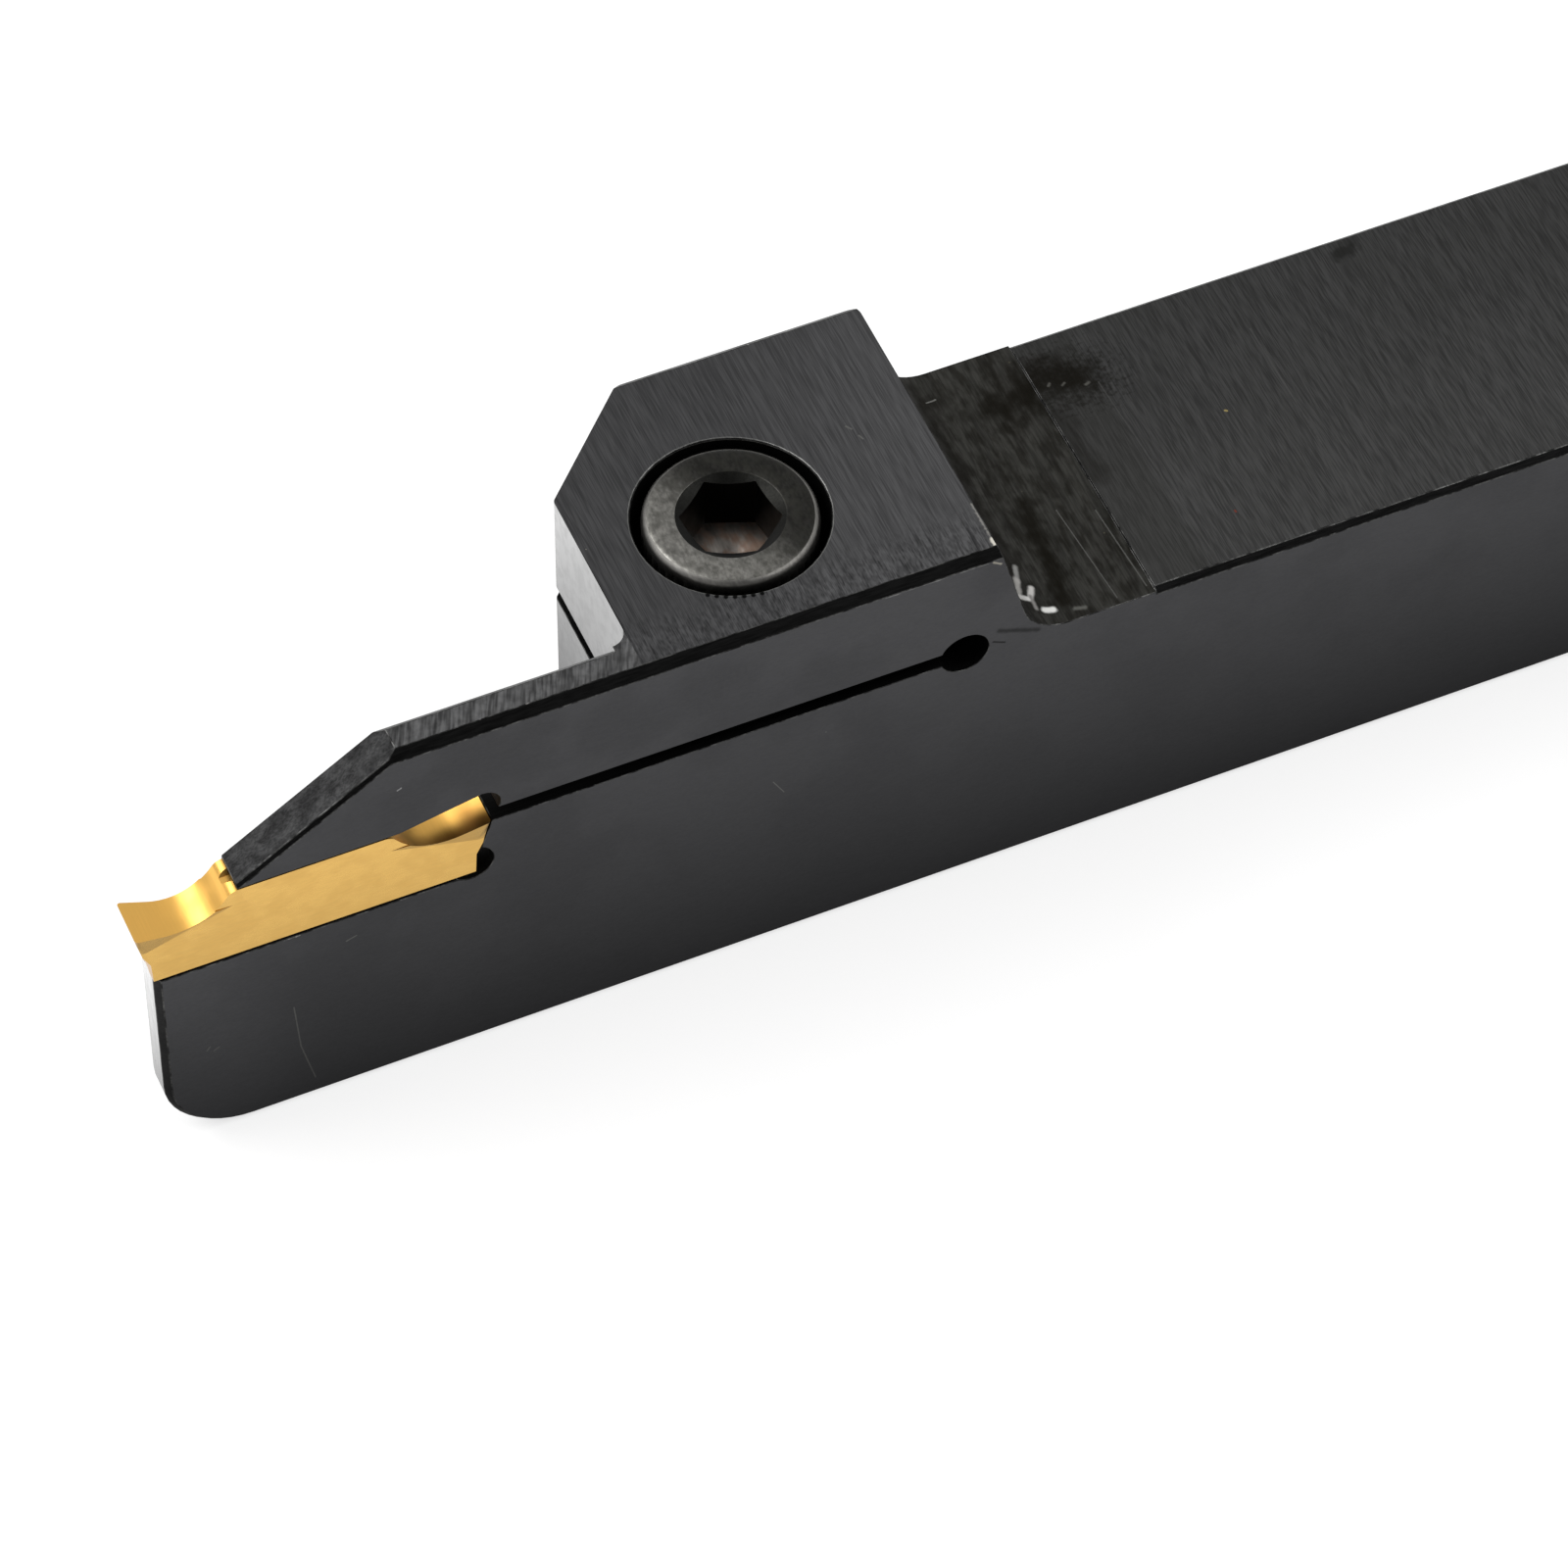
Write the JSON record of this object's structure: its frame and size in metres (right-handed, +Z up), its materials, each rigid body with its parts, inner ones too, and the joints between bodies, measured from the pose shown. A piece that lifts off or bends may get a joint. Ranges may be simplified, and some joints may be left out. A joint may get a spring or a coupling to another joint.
{
  "type": "turning tool holder",
  "caption": "Square-shank holder for grooving on a lathe: a slit spring head and thin blade clamp a double-ended insert with a sunk cap screw.",
  "frame": {"origin": "underside of the shank, on its centre line, below the rear top edge of the head", "axes": "+X runs back along the shank, away from the cutting edge; +Z up; +Y to the side away from the blade"},
  "size_m": [0.1249, 0.0203, 0.0283],
  "materials": {
    "blackened_steel": "black oxide over ground and milled steel",
    "screw_steel": "blackened, slightly oily cap screw",
    "coated_carbide": "gold coloured hard coating on ground carbide"
  },
  "bodies": {
    "holder": {"holder_body": "blackened_steel"},
    "screw": {"clamp_screw": "screw_steel"},
    "insert": {"grooving_insert": "coated_carbide"}
  },
  "joints": [
    {"name": "screw_turn", "type": "hinge", "parent": "holder", "child": "screw", "pos_m": [-0.0127, -0.0017, 0.02835], "axis": [0, 0, 1], "range_deg": [0, 720]},
    {"name": "insert_slide", "type": "slide", "parent": "holder", "child": "insert", "axis": [-1, 0, 0], "range_m": [0, 0.024]}
  ]
}
